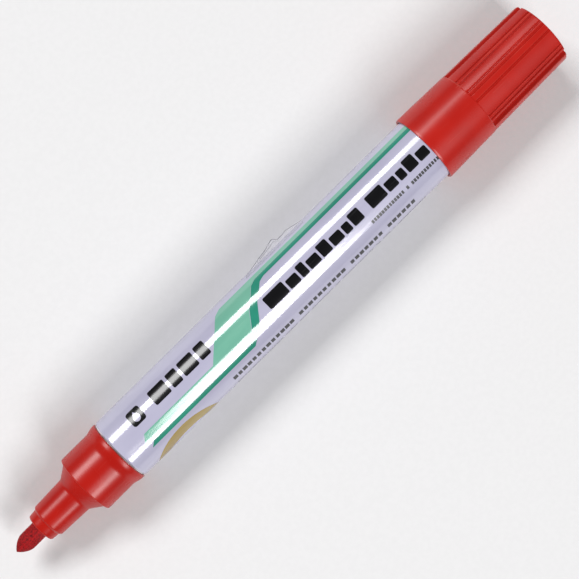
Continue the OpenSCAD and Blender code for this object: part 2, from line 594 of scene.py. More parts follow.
@dataclass(frozen=True)
class MouldedPlastic:
    """Injection-moulded plastic with a fine skin, hair scratches, and convex edges lightened by rubbing
    and by a painted highlight.

    Args:
        name: The material's name.
        body: The plastic's colour.
        deep: The colour of its darker mottle.
        rubbed_and_highlit: The colour laid on its scratches and convex edges, as rubbing and as a painted
            edge highlight.
        roughness: Roughness where it is untouched.
        wear_and_highlight: How far that colour shows on the scratches and edges, from 0 to 1; on the
            edges it is rubbing and a painted highlight.
        subsurface: How far light enters it.
    """

    name: str
    body: Colour
    deep: Colour
    rubbed_and_highlit: Colour
    roughness: float = 0.34
    wear_and_highlight: float = 0.35
    subsurface: float = 0.0

    def material(self) -> bpy.types.Material:
        """Builds the material.

        Returns:
            The material.
        """
        material, nodes, shader, place = new_material(self.name)
        grain = nodes.group(EFFECTS.grain, Vector=place, Scale=2600.0, Depth=1.0)
        lines = nodes.group(EFFECTS.scratches, Vector=place, Amount=self.wear_and_highlight * 0.7)
        edges = nodes.group(EFFECTS.edge_highlight_and_wear, Vector=place, Amount=self.wear_and_highlight)
        # Scratches and convex edges take the lighter colour: rubbing, and on the edges a painted
        # highlight too.
        worn_and_highlit = nodes.math("MAXIMUM", edges["Mask"], lines["Mask"])
        plain = nodes.mix(grain["Mottle"], self.deep, self.body)
        rough = nodes.remap(lines["Patches"], self.roughness, self.roughness + 0.03)
        nodes.feed_all(shader, {
            "Base Color": nodes.mix(worn_and_highlit, plain, self.rubbed_and_highlit),
            "Roughness": nodes.plus(rough, nodes.times(worn_and_highlit, 0.12)),
            "Normal": nodes.bump(grain["Height"], 0.12, 0.00004),
            "Specular IOR Level": 0.36,
            "Subsurface Weight": self.subsurface,
            "Subsurface Radius": (0.0012, 0.0006, 0.0005),
        })
        return material


@dataclass(frozen=True)
class GlossFilm:
    """Glossy film, or the ink printed on it, with slight waves and scuffs.

    Args:
        name: The material's name.
        body: The colour.
        tint: A second colour that the slow mottle mixes in.
        roughness: Roughness of the clean film.
        scuffs: How far scratches lighten it, from 0 to 1.
        waves: Depth of the film's waves, in metres.
        alpha: How solid it is.
        coat: How far a clear gloss lies over it, from 0 to 1.
        ior: Its index of refraction.
    """

    name: str
    body: Colour
    tint: Colour
    roughness: float = 0.11
    scuffs: float = 0.25
    waves: float = 0.000006
    alpha: float = 1.0
    coat: float = 0.5
    ior: float = 1.62

    def material(self) -> bpy.types.Material:
        """Builds the material.

        Returns:
            The material.
        """
        material, nodes, shader, place = new_material(self.name)
        lines = nodes.group(EFFECTS.scratches, Vector=place, Amount=self.scuffs)
        mottle = nodes.ramp(nodes.noise(nodes.stretched(place, (90, 300, 300)), 1.0, 3.0), 0.35, 0.65)
        pale = tuple(min(1.0, c * 0.6 + 0.35) for c in self.body)
        wave = nodes.noise(nodes.stretched(place, (60, 260, 260)), 1.0)
        nodes.feed_all(shader, {
            "Base Color": nodes.mix(lines["Mask"], nodes.mix(mottle, self.body, self.tint), pale),
            "Roughness": nodes.remap(lines["Patches"], self.roughness, self.roughness + 0.05),
            "Normal": nodes.bump(wave, 0.5, self.waves),
            "Alpha": self.alpha,
            "IOR": self.ior,
            "Coat Weight": self.coat,
            "Coat Roughness": 0.08,
        })
        return material


@dataclass(frozen=True)
class DrawnAluminium:
    """Bare drawn aluminium with fine rings round it.

    Args:
        name: The material's name.
        body: The metal's colour.
        dull: The colour of its duller rings.
    """

    name: str = "drawn aluminium"
    body: Colour = (0.86, 0.87, 0.89)
    dull: Colour = (0.66, 0.67, 0.70)

    def material(self) -> bpy.types.Material:
        """Builds the material.

        Returns:
            The material.
        """
        material, nodes, shader, place = new_material(self.name)
        rings = nodes.noise(nodes.stretched(place, (9000, 120, 120)), 1.0, 3.0)
        lines = nodes.group(EFFECTS.scratches, Vector=place, Amount=0.4)
        nodes.feed_all(shader, {
            "Base Color": nodes.mix(nodes.ramp(rings, 0.4, 0.65), self.dull, self.body),
            "Roughness": nodes.remap(lines["Patches"], 0.22, 0.34),
            "Normal": nodes.bump(rings, 0.25, 0.00002),
            "Metallic": 1.0,
        })
        return material


@dataclass(frozen=True)
class FibreBundle:
    """Bonded or loose fibres that run along the pen, soaked in ink, with painted shade between the fibres
    and painted light on the raised ones.

    Args:
        name: The material's name.
        ink_and_hollow_shade: The colour between the fibres: inky, and darkened as painted shade in the
            hollows.
        lit: The colour of the fibres that stand out, as painted light on them.
        strand: Fibres across a metre.
        roughness: Roughness of the dry fibres.
        depth: Depth of the bump, in metres.
    """

    name: str
    ink_and_hollow_shade: Colour
    lit: Colour
    strand: float = 7000.0
    roughness: float = 0.62
    depth: float = 0.00012

    def material(self) -> bpy.types.Material:
        """Builds the material.

        Returns:
            The material.
        """
        material, nodes, shader, place = new_material(self.name)
        scale = (self.strand * 0.35, self.strand, self.strand)
        strands = nodes.noise(nodes.stretched(place, scale), 1.0, 3.0)
        clumps = nodes.noise(nodes.stretched(place, (1800, 3000, 3000)), 1.0)
        grain = nodes.group(EFFECTS.grain, Vector=place, Scale=self.strand, Depth=1.0)
        relief = nodes.plus(strands, nodes.times(clumps, 0.6))
        nodes.feed_all(shader, {
            # Hollows of the relief get the darker colour as painted shade over the ink, raised fibres the
            # lighter colour as painted light.
            "Base Color": nodes.mix(nodes.ramp(relief, 0.52, 0.98), self.ink_and_hollow_shade, self.lit),
            "Roughness": nodes.remap(grain["Mottle"], self.roughness - 0.12, self.roughness + 0.1),
            "Normal": nodes.bump(relief, 0.9, self.depth),
            "Specular IOR Level": 0.15,
        })
        return material


class Finish(Enum):
    """Every finish on the pen."""

    # Each plastic's third colour goes on its scratches and convex edges, as rubbing and as a painted edge
    # highlight.
    RED = MouldedPlastic(
        "red plastic", (0.475, 0.009, 0.004), (0.43, 0.007, 0.003), (0.70, 0.12, 0.09), 0.26
    )
    CAP_RED = MouldedPlastic(
        "cap red plastic", (0.52, 0.014, 0.008), (0.47, 0.011, 0.006), (0.76, 0.15, 0.11), 0.27
    )
    MILKY = MouldedPlastic(
        "milky plastic", (0.80, 0.76, 0.71), (0.72, 0.68, 0.63), (0.88, 0.86, 0.82), 0.42, 0.2, 0.2
    )
    FILM = GlossFilm("lavender film", (0.49, 0.475, 0.625), (0.52, 0.505, 0.655))
    CLEAR = GlossFilm("clear film", (0.66, 0.65, 0.74), (0.72, 0.71, 0.80), 0.08, 0.0, 0.0, 0.25)
    # A dark grey, mostly solid film for the flap's edge and crease: painted shade where the clear film is
    # seen edge-on.
    FLAP_EDGE_SHADE = GlossFilm(
        "painted flap edge shade", (0.22, 0.22, 0.24), (0.28, 0.28, 0.30), 0.1, 0.0, 0.0, 0.75
    )
    LIGHT_GREEN = GlossFilm("pale green ink", (0.17, 0.47, 0.35), (0.20, 0.51, 0.38))
    DARK_GREEN = GlossFilm("deep green ink", (0.018, 0.25, 0.17), (0.025, 0.29, 0.20))
    GOLD = GlossFilm("gold ink", (0.31, 0.20, 0.025), (0.37, 0.26, 0.05), 0.16)
    BLACK = GlossFilm(
        "black ink", (0.002, 0.002, 0.003), (0.004, 0.004, 0.005), 0.14, coat=0.0, ior=1.5
    )
    GREY = GlossFilm("grey ink", (0.045, 0.045, 0.05), (0.06, 0.06, 0.065), 0.14, coat=0.0, ior=1.5)
    ALUMINIUM = DrawnAluminium()
    # Each fibre finish has a darker colour for painted shade in the hollows and a lighter one for painted
    # light on the raised fibres.
    NIB = FibreBundle("inked nib", (0.09, 0.004, 0.006), (0.44, 0.009, 0.011), 7000.0)
    RESERVOIR = FibreBundle("inked reservoir", (0.30, 0.012, 0.02), (0.55, 0.05, 0.06), 4000.0)

    @property
    def material(self) -> bpy.types.Material:
        """The finish's material, which is built at its first use."""
        found = bpy.data.materials.get(self.value.name)
        return found or self.value.material()


class Slot(Enum):
    """The record's material slots."""

    BARREL = "barrel_aluminium"
    FILM = "printed_film"
    RED = "red_plastic"
    NIB = "nib_fibre"
    RESERVOIR = "reservoir_fibre"
    CLEAR = "clear_film"
    INNER_CAP = "inner_cap_plastic"


class Body(Enum):
    """The bodies that pieces ride on."""

    BARREL = "barrel"
    CAP = "cap"


def dress(
    piece: bpy.types.Object, finish: Finish, body: Body, replaced: Sequence[str] = ()
) -> bpy.types.Object:
    """Gives a piece its finish and its body, and hides the CAD nodes that it stands for.

    Args:
        piece: The finished piece.
        finish: Its finish.
        body: The body that it rides on.
        replaced: The CAD nodes that it replaces.

    Returns:
        The same piece.
    """
    piece.data.materials.clear()
    piece.data.materials.append(finish.material)
    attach(piece, body.value)
    if replaced:
        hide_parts(*replaced)
    log.info("%s: %d faces on %s", piece.name, len(piece.data.polygons), body.value)
    return piece


# ---------------------------------------------------------------- geometry nodes


def set_inputs(modifier: bpy.types.Modifier, values: Inputs) -> None:
    """Sets a geometry nodes modifier's inputs by their sockets' identifiers.

    Args:
        modifier: The modifier, which has its tree.
        values: The inputs' values by name.
    """
    for item in modifier.node_group.interface.items_tree:
        if item.item_type == "SOCKET" and item.in_out == "INPUT" and item.name in values:
            modifier[item.identifier] = values[item.name]


def grown(
    name: str, tree: bpy.types.NodeTree, values: Inputs, start: bpy.types.Object | None = None
) -> bpy.types.Object:
    """Runs a geometry nodes tree and keeps its result as a plain mesh.

    Args:
        name: The piece's name.
        tree: The tree.
        values: Its inputs by name.
        start: The object that it changes, or None for a tree that needs none.

    Returns:
        The finished piece, with no modifier left on it.
    """
    source = start or shown(name, bpy.data.meshes.new(name))
    modifier = source.modifiers.new("make", "NODES")
    modifier.node_group = tree
    set_inputs(modifier, values)
    graph = bpy.context.evaluated_depsgraph_get()
    mesh = bpy.data.meshes.new_from_object(source.evaluated_get(graph))
    old = source.data
    bpy.data.objects.remove(source)
    bpy.data.meshes.remove(old)
    mesh.name = name
    return shown(name, mesh)


class GeometryTree(Nodes):
    """A geometry nodes tree with named inputs."""

    def __init__(self, name: str, inputs: dict[str, tuple[str, object]]) -> None:
        """Starts the tree with its inputs and its one output.

        Args:
            name: The tree's name.
            inputs: Its inputs, each with its kind and default value.
        """
        super().__init__(bpy.data.node_groups.new(name, "GeometryNodeTree"))
        add_socket(self.tree, "Geometry", False, "Geometry")
        for key, (kind, value) in inputs.items():
            add_socket(self.tree, key, False, kind, value)
        add_socket(self.tree, "Geometry", True, "Geometry")
        self.given = self.new("NodeGroupInput").outputs
        self.sink = self.new("NodeGroupOutput").inputs

    def vector(self, x: object, y: object, z: object) -> Socket:
        """A vector made of three numbers."""
        return self.new("ShaderNodeCombineXYZ", {0: x, 1: y, 2: z}).outputs[0]

    def position(self) -> tuple[Socket, Socket, Socket]:
        """The X, Y and Z of each point."""
        place = self.new("GeometryNodeInputPosition").outputs[0]
        return tuple(self.new("ShaderNodeSeparateXYZ", {0: place}).outputs)

    def moved(self, geometry: Socket, position: Socket, chosen: object = True) -> Socket:
        """The geometry with its chosen points set to a position."""
        values = {"Geometry": geometry, "Position": position, "Selection": chosen}
        return self.new("GeometryNodeSetPosition", values).outputs["Geometry"]

    def welded(self, geometry: Socket, distance: float) -> Socket:
        """The geometry with its points joined that are closer than a distance."""
        values = {"Geometry": geometry, "Distance": distance}
        return self.new("GeometryNodeMergeByDistance", values).outputs[0]

    def realized(self, geometry: Socket) -> Socket:
        """The geometry with its instances made real."""
        return self.new("GeometryNodeRealizeInstances", {0: geometry}).outputs[0]

    def close(self, geometry: Socket) -> bpy.types.NodeTree:
        """Ends the tree with real geometry in its finish.

        Args:
            geometry: What the tree makes.

        Returns:
            The finished tree.
        """
        values = {"Geometry": self.realized(geometry), "Material": self.given["Finish"]}
        self.feed(self.sink[0], self.new("GeometryNodeSetMaterial", values).outputs[0])
        return self.tree


WRAP_INPUTS: dict[str, tuple[str, object]] = {
    "Tip": ("Float", 0.0), "Axis height": ("Float", 0.0), "Radius": ("Float", 0.0075),
    "Ink": ("Float", 0.00001), "Finish": ("Material", None),
}


def wrapped(tree: GeometryTree, flat: Socket) -> Socket:
    """Bends flat print round the barrel and gives it the thickness of ink.

    Args:
        tree: The tree, which has the inputs of WRAP_INPUTS.
        flat: Flat faces, with X along the pen from the nib's tip and Y round it.

    Returns:
        Closed slabs of ink on the film.
    """
    given = tree.given
    along, around, rise = tree.position()
    base = tree.new("GeometryNodeFlipFaces", {"Mesh": flat})
    upwards = tree.vector(0.0, 0.0, 1.0)
    values = {"Mesh": flat, "Offset": upwards, "Offset Scale": given["Ink"], "Individual": False}
    ink = tree.new("GeometryNodeExtrudeMesh", values, mode="FACES")
    slab = tree.new("GeometryNodeJoinGeometry")
    tree.feed(slab.inputs[0], base.outputs[0])
    tree.feed(slab.inputs[0], ink.outputs["Mesh"])
    turn = tree.math("DIVIDE", around, given["Radius"])
    radius = tree.plus(given["Radius"], rise)
    place = tree.vector(
        tree.plus(along, given["Tip"]),
        tree.times(tree.times(radius, tree.math("SINE", turn)), -1.0),
        tree.plus(tree.times(radius, tree.math("COSINE", turn)), given["Axis height"]),
    )
    bent = tree.moved(tree.welded(slab.outputs[0], 1e-7), place)
    return tree.new("GeometryNodeFlipFaces", {"Mesh": bent}).outputs[0]


def marks_tree() -> bpy.types.NodeTree:
    """The tree that wraps drawn marks on the film."""
    tree = GeometryTree("Printed marks", WRAP_INPUTS)
    return tree.close(wrapped(tree, tree.given["Geometry"]))


def dashes_tree() -> bpy.types.NodeTree:
    """The tree that prints one row of dashes on the film.

    Returns:
        The tree.
    """
    tree = GeometryTree("Printed dashes", {
        "Start": ("Float", 0.06), "Count": ("Int", 20), "Pitch": ("Float", 0.002),
        "Row": ("Float", 0.006), "Dash height": ("Float", 0.001),
        "Spaces": ("Float", 0.15), "Seed": ("Int", 1), **WRAP_INPUTS,
    })
    given = tree.given
    values = {
        "Count": given["Count"],
        "Start Location": tree.vector(given["Start"], given["Row"], 0.0),
        "Offset": tree.vector(given["Pitch"], 0.0, 0.0),
    }
    row = tree.new("GeometryNodeMeshLine", values, mode="OFFSET")
    sizes = {"Size X": 1.0, "Size Y": 1.0, "Vertices X": 2, "Vertices Y": 7}
    dash = tree.new("GeometryNodeMeshGrid", sizes)

    def chance(low: float, high: float, offset: int) -> Socket:
        """A random number for each dash.

        Args:
            low: The lowest number.
            high: The highest number.
            offset: What is added to the row's seed.

        Returns:
            The number.
        """
        node = tree.new("FunctionNodeRandomValue", data_type="FLOAT")
        floats = [s for s in node.inputs if s.type == "VALUE"]
        floats[0].default_value, floats[1].default_value = low, high
        tree.feed(node.inputs["Seed"], tree.plus(given["Seed"], offset))
        return next(s for s in node.outputs if s.type == "VALUE")

    width = tree.times(given["Pitch"], chance(0.62, 0.86, 7))
    put = tree.new("GeometryNodeInstanceOnPoints", {
        "Points": row.outputs["Mesh"],
        "Selection": tree.math("GREATER_THAN", chance(0.0, 1.0, 0), given["Spaces"]),
        "Instance": dash.outputs["Mesh"],
        "Scale": tree.vector(width, given["Dash height"], 1.0),
    })
    return tree.close(wrapped(tree, tree.realized(put.outputs[0])))


@dataclass(frozen=True)
class Groove:
    """A groove along the cap's grip.

    Args:
        turn: Its angle from the top, in degrees.
        width: Its width, in degrees.
        depth: Its depth, in millimetres.
    """

    turn: float
    width: float
    depth: float


def grip_tree(grooves: Sequence[Groove]) -> bpy.types.NodeTree:
    """The tree that cuts grooves along the grip, twice round the cap.

    Args:
        grooves: The grooves of half the cap.

    Returns:
        The tree.
    """
    tree = GeometryTree("Grip grooves", {
        "Axis height": ("Float", 0.0), "Start": ("Float", 0.0), "End": ("Float", 0.1),
        "Start radius": ("Float", 0.008), "End radius": ("Float", 0.0075),
        "Run in": ("Float", 0.0006), "Flank": ("Float", 0.5), "Finish": ("Material", None),
    })
    given = tree.given
    x, y, z = tree.position()
    up = tree.minus(z, given["Axis height"])
    radius = tree.math("SQRT", tree.plus(tree.times(y, y), tree.times(up, up)))
    turn = tree.math("DEGREES", tree.math("ARCTAN2", tree.times(y, -1.0), up))
    half = tree.minus(tree.math("FLOORED_MODULO", tree.plus(turn, 90.0), 180.0), 90.0)
    cut: object = 0.0
    for groove in grooves:
        away = tree.math("ABSOLUTE", tree.minus(half, groove.turn))
        edge = groove.width / 2
        inside = tree.ramp(away, tree.plus(given["Flank"], edge), tree.minus(edge, given["Flank"]))
        cut = tree.math("MAXIMUM", cut, tree.times(inside, groove.depth * MM))
    begun = tree.ramp(x, given["Start"], tree.plus(given["Start"], given["Run in"]))
    surface = tree.remap(x, given["Start radius"], given["End radius"], given["Start"], given["End"])
    floor = tree.minus(surface, tree.times(cut, begun))
    share = tree.math("DIVIDE", tree.math("MINIMUM", radius, floor), radius)
    place = tree.vector(x, tree.times(y, share), tree.plus(tree.times(up, share), given["Axis height"]))
    behind = tree.math("GREATER_THAN", x, given["Start"])
    return tree.close(tree.welded(tree.moved(given["Geometry"], place, behind), 2e-6))


# ---------------------------------------------------------------- printed marks


Flat = list[tuple[float, float]]


def arc_points(
    x: float, y: float, wide: float, tall: float, start: float, end: float, steps: int
) -> Flat:
    """Points on an ellipse, from one angle in degrees to another."""
    turns = [math.radians(start + (end - start) * k / steps) for k in range(steps + 1)]
    return [(x + wide * math.cos(t), y + tall * math.sin(t)) for t in turns]


def block(x: float, y: float, length: float, height: float, corner: float = 0.35) -> Flat:
    """A block with round corners.

    Args:
        x: Its lowest place along the pen.
        y: Its lowest place round the pen.
        length: Its length.
        height: Its height.
        corner: Radius of its corners.

    Returns:
        Its outline.
    """
    r = min(corner, length / 2, height / 2)
    right, top = x + length - r, y + height - r
    points: Flat = []
    for k, (cx, cy) in enumerate(((right, top), (x + r, top), (x + r, y + r), (right, y + r))):
        points += arc_points(cx, cy, r, r, 90 * k, 90 * (k + 1), 4)
    return points


def block_row(x: float, foot: float, sizes: Sequence[tuple[float, float]], gap: float) -> list[Flat]:
    """Blocks side by side on one line, which stand for a bold word.

    Args:
        x: Where the row starts.
        foot: Where the blocks stand.
        sizes: Each block's length and height.
        gap: Space between two blocks.

    Returns:
        The blocks' outlines.
    """
    row: list[Flat] = []
    for length, height in sizes:
        row.append(block(x, foot - height, length, height))
        x += length + gap
    return row


def flat_sheet(name: str, outlines: Sequence[Flat], strip: float = 0.4) -> bpy.types.Object:
    """Flat faces of drawn outlines, cut into strips so that they can bend.

    Args:
        name: The object's name.
        outlines: Outlines as (along, around) points, in millimetres.
        strip: Width of the strips, in millimetres.

    Returns:
        The flat object, in metres.
    """
    bm = bmesh.new()
    for outline in outlines:
        bm.faces.new([bm.verts.new((x * MM, y * MM, 0)) for x, y in outline])
    bm.normal_update()
    for face in bm.faces:
        if face.normal.z < 0:
            face.normal_flip()
    bmesh.ops.triangulate(bm, faces=bm.faces[:])
    low = min(v.co.y for v in bm.verts)
    high = max(v.co.y for v in bm.verts)
    for k in range(1, math.ceil((high - low) / (strip * MM))):
        everything = bm.verts[:] + bm.edges[:] + bm.faces[:]
        cut = (0, low + k * strip * MM, 0)
        bmesh.ops.bisect_plane(bm, geom=everything, dist=1e-8, plane_co=cut, plane_no=(0, 1, 0))
    mesh = bpy.data.meshes.new(name)
    bm.to_mesh(mesh)
    bm.free()
    return shown(name, mesh)


@dataclass
class Print:
    """What is printed on the film, all of it generic.

    Args:
        radius: The film's outer radius.
        end: Where the print stops under the cap.
        ink: Thickness of the ink.
    """

    radius: float
    end: float
    ink: float = 0.012

    def __post_init__(self) -> None:
        """Builds the two trees that print."""
        self.marks, self.dashes = marks_tree(), dashes_tree()

    def _put(
        self, name: str, tree: bpy.types.NodeTree, finish: Finish, values: Inputs,
        flat: bpy.types.Object | None = None,
    ) -> None:
        """Prints one piece.

        Args:
            name: The piece's name.
            tree: The tree that makes it.
            finish: Its ink.
            values: The tree's own inputs.
            flat: Flat marks to wrap, if the tree needs them.
        """
        shared = {
            "Tip": AXIS.tip_x, "Axis height": AXIS.height, "Radius": self.radius * MM,
            "Ink": self.ink * MM, "Finish": finish.material,
        }
        dress(grown(name, tree, shared | values, flat), finish, Body.BARREL)

    def _printed(self, name: str, outlines: Sequence[Flat], finish: Finish) -> None:
        """Prints outlines in one ink."""
        self._put(name, self.marks, finish, {}, flat_sheet(f"{name}_flat", outlines))

    def _row(
        self, name: str, start: float, end: float, row: float, height: float, pitch: float, seed: int
    ) -> None:
        """Prints one row of dashes, which stands for a line of small print.

        Args:
            name: The piece's name.
            start: Where the row starts along the pen.
            end: Where it ends.
            row: How far it lies round the barrel from the top.
            height: Height of a dash.
            pitch: Distance from one dash to the next.
            seed: Seed of the dashes' lengths and of the spaces.
        """
        self._put(name, self.dashes, Finish.GREY, {
            "Start": start * MM, "Count": int((end - start) / pitch), "Pitch": pitch * MM,
            "Row": row * MM, "Dash height": height * MM, "Spaces": 0.12, "Seed": seed,
        })

    def stripes(self) -> None:
        """The pale and deep green stripes, which climb from the lower to the upper side."""
        deep_left = [(65.0, 3.6), (67.5, 1.4), (70.0, -1.9), (72.5, -4.2), (73.6, -5.5), (75.2, -6.3)]
        deep_right = [
            (76.9, -5.2), (75.6, -4.8), (74.6, -3.8), (72.3, -1.9), (69.7, 1.4), (66.9, 3.7), (65.6, 4.7),
        ]
        deep = [(37.2, 3.6), *deep_left, (self.end, -6.3), (self.end, -5.2), *deep_right, (36.0, 4.7)]
        rise = [(56.6, 1.1), (59.8, -1.9), (62.0, -4.1), (64.0, -6.6), (65.6, -7.5)]
        pale = [(36.8, 1.1), *rise, (self.end, -7.5), (self.end, -6.36), (75.2, -6.36), (73.5, -5.5)]
        pale += [(72.4, -4.2), (69.9, -1.9), (67.4, 1.4), (65.2, 3.35), (35.0, 3.35)]
        self._printed("print_pale_green", [pale], Finish.LIGHT_GREEN)
        self._printed("print_deep_green", [deep], Finish.DARK_GREEN)

    def swoosh(self) -> None:
        """A plain gold crescent low on the side."""
        outer = arc_points(43.2, 11.2, 8.7, 5.3, 180, 360, 24)
        inner = arc_points(43.6, 11.4, 5.6, 2.5, 0, -180, 16)
        self._printed("print_gold_crescent", [outer + inner], Finish.GOLD)

    def blocks(self) -> None:
        """Black blocks where words would be, and a square with a drop left open in it."""
        low, tall, words, gap = 2.25, 2.95, 1.4, 0.5
        sizes = (
            (5.4, tall), (2.9, low), (1.9, tall), (3.0, low),
            (2.7, tall), (3.0, low), (1.9, low), (2.8, tall),
        )
        first = block_row(73.2, words, sizes, gap)
        sizes = ((4.4, tall), (2.8, low), (1.9, low), (2.8, tall), (2.8, low), (1.9, low))
        second = block_row(102.6, words, sizes, gap)
        third = block_row(42.8, -1.15, [(length, 3.6) for length in (4.3, 2.6, 3.9, 2.6)], 0.75)
        middle, edge, corner = 38.1, 37.0, 0.6
        left = [
            (middle, -1.0), *arc_points(edge, -1.6, corner, corner, 90, 180, 4),
            *arc_points(edge, -4.0, corner, corner, 180, 270, 4),
            (middle, -4.6), (middle, -4.0), *arc_points(middle, -2.4, 0.85, 0.85, 215, 90, 10),
        ]
        right = [(2 * middle - x, y) for x, y in reversed(left)]
        self._printed("print_black_blocks", [*first, *second, *third, left, right], Finish.BLACK)

    def small_print(self) -> None:
        """Rows of dashes where small print would be."""
        self._row("print_small_row", 100.8, 121.0, 3.3, 0.8, 0.72, 4)
        self._row("print_wide_row", 58.2, 112.0, 7.2, 1.15, 1.36, 5)
        self._row("print_fine_row", 58.0, 113.5, 10.1, 0.45, 0.7, 23)

    def make(self) -> None:
        """Prints everything."""
        self.stripes()
        self.swoosh()
        self.blocks()
        self.small_print()


# ---------------------------------------------------------------- sub-assemblies


@dataclass
class WritingEnd:
    """The nib and the red moulding that holds it. Sizes are millimetres.

    Args:
        nib_out: How far the nib stands out.
        nib_radius: Radius of the nib.
        bullet: Length of its rounded point.
        tip_radius: Radius of the holder's front face.
        holder_end: Distance to the end of the holder.
        collar: Distance to the collar's front face.
        flare: Distance to the flange's flare.
        collar_radius: Radius of the collar.
        flange_radius: Radius of the flange.
    """

    nib_out: float = 6.95
    nib_radius: float = 2.0
    bullet: float = 3.5
    tip_radius: float = 3.35
    holder_end: float = 17.05
    collar: float = 19.97
    flare: float = 27.37
    collar_radius: float = 7.08
    flange_radius: float = 7.53

    def _nib(self) -> bpy.types.Object:
        """The fibre rod, with a bullet point and a slightly felted surface.

        Returns:
            The new piece.
        """
        radius, tail = self.nib_radius, (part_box("nib")[1].x - AXIS.tip_x) / MM
        rings: list[Ring] = [(0.0, 0.0)]
        for step in range(1, 25):
            share = (step / 24) ** 1.5
            rings.append((self.bullet * share, radius * math.sin(math.pi / 2 * share ** 0.85)))
        rings += spaced([(self.bullet + 0.12, radius), (tail - 1.2, radius)], 0.12, False)
        rings += [(tail, radius * 0.45), (tail, 0.0)]

        def felted(along: float, radius: float, turn: float) -> float:
            """Lets the fibres stand in and out a little."""
            spot = Vector((along * 2.2, math.cos(turn) * radius * 4.5, math.sin(turn) * radius * 4.5))
            return radius - 0.03 * min(1.0, radius) * noise.noise(spot)

        return turned("nib_rod", rings, 96, False, shaper=felted, sharp_deg=180)

    def _front(self) -> bpy.types.Object:
        """The holder, cone, collar, flange and plug, hollow for the nib and reservoir.

        Returns:
            The new piece.
        """
        rim, tip, face = AXIS.rim, self.tip_radius, self.nib_out
        bore, neck, plug, socket, ledge, plug_end = self.nib_radius + 0.03, 6.78, 6.97, 6.54, 3.0, 10.5
        outline = (
            (face, bore, 0.1), (face, tip, 0.42),
            (face + 1.95, tip + 0.2, 0.08), (face + 2.4, tip + 0.65, 0.12),
            (self.holder_end, 4.29, 0.35), (self.collar, 6.32, 0.12),
            (self.collar, self.collar_radius, 0.32),
            (self.flare + 0.1, self.collar_radius, 0.4), (rim - 1.05, self.flange_radius - 0.03, 0.35),
            (rim, self.flange_radius, 0.3), (rim, neck), (rim + 0.5, neck), (rim + 1.8, plug, 0.1),
            (rim + plug_end, plug, 0.3), (rim + plug_end, socket, 0.1),
            (rim + ledge, socket), (rim + ledge, bore),
        )
        return turned("front_moulding", spaced(cornered(outline, True), 0.8))

    def make(self) -> None:
        """Builds and dresses both pieces."""
        dress(self._nib(), Finish.NIB, Body.BARREL, ["nib"])
        dress(self._front(), Finish.RED, Body.BARREL, ["front_section"])


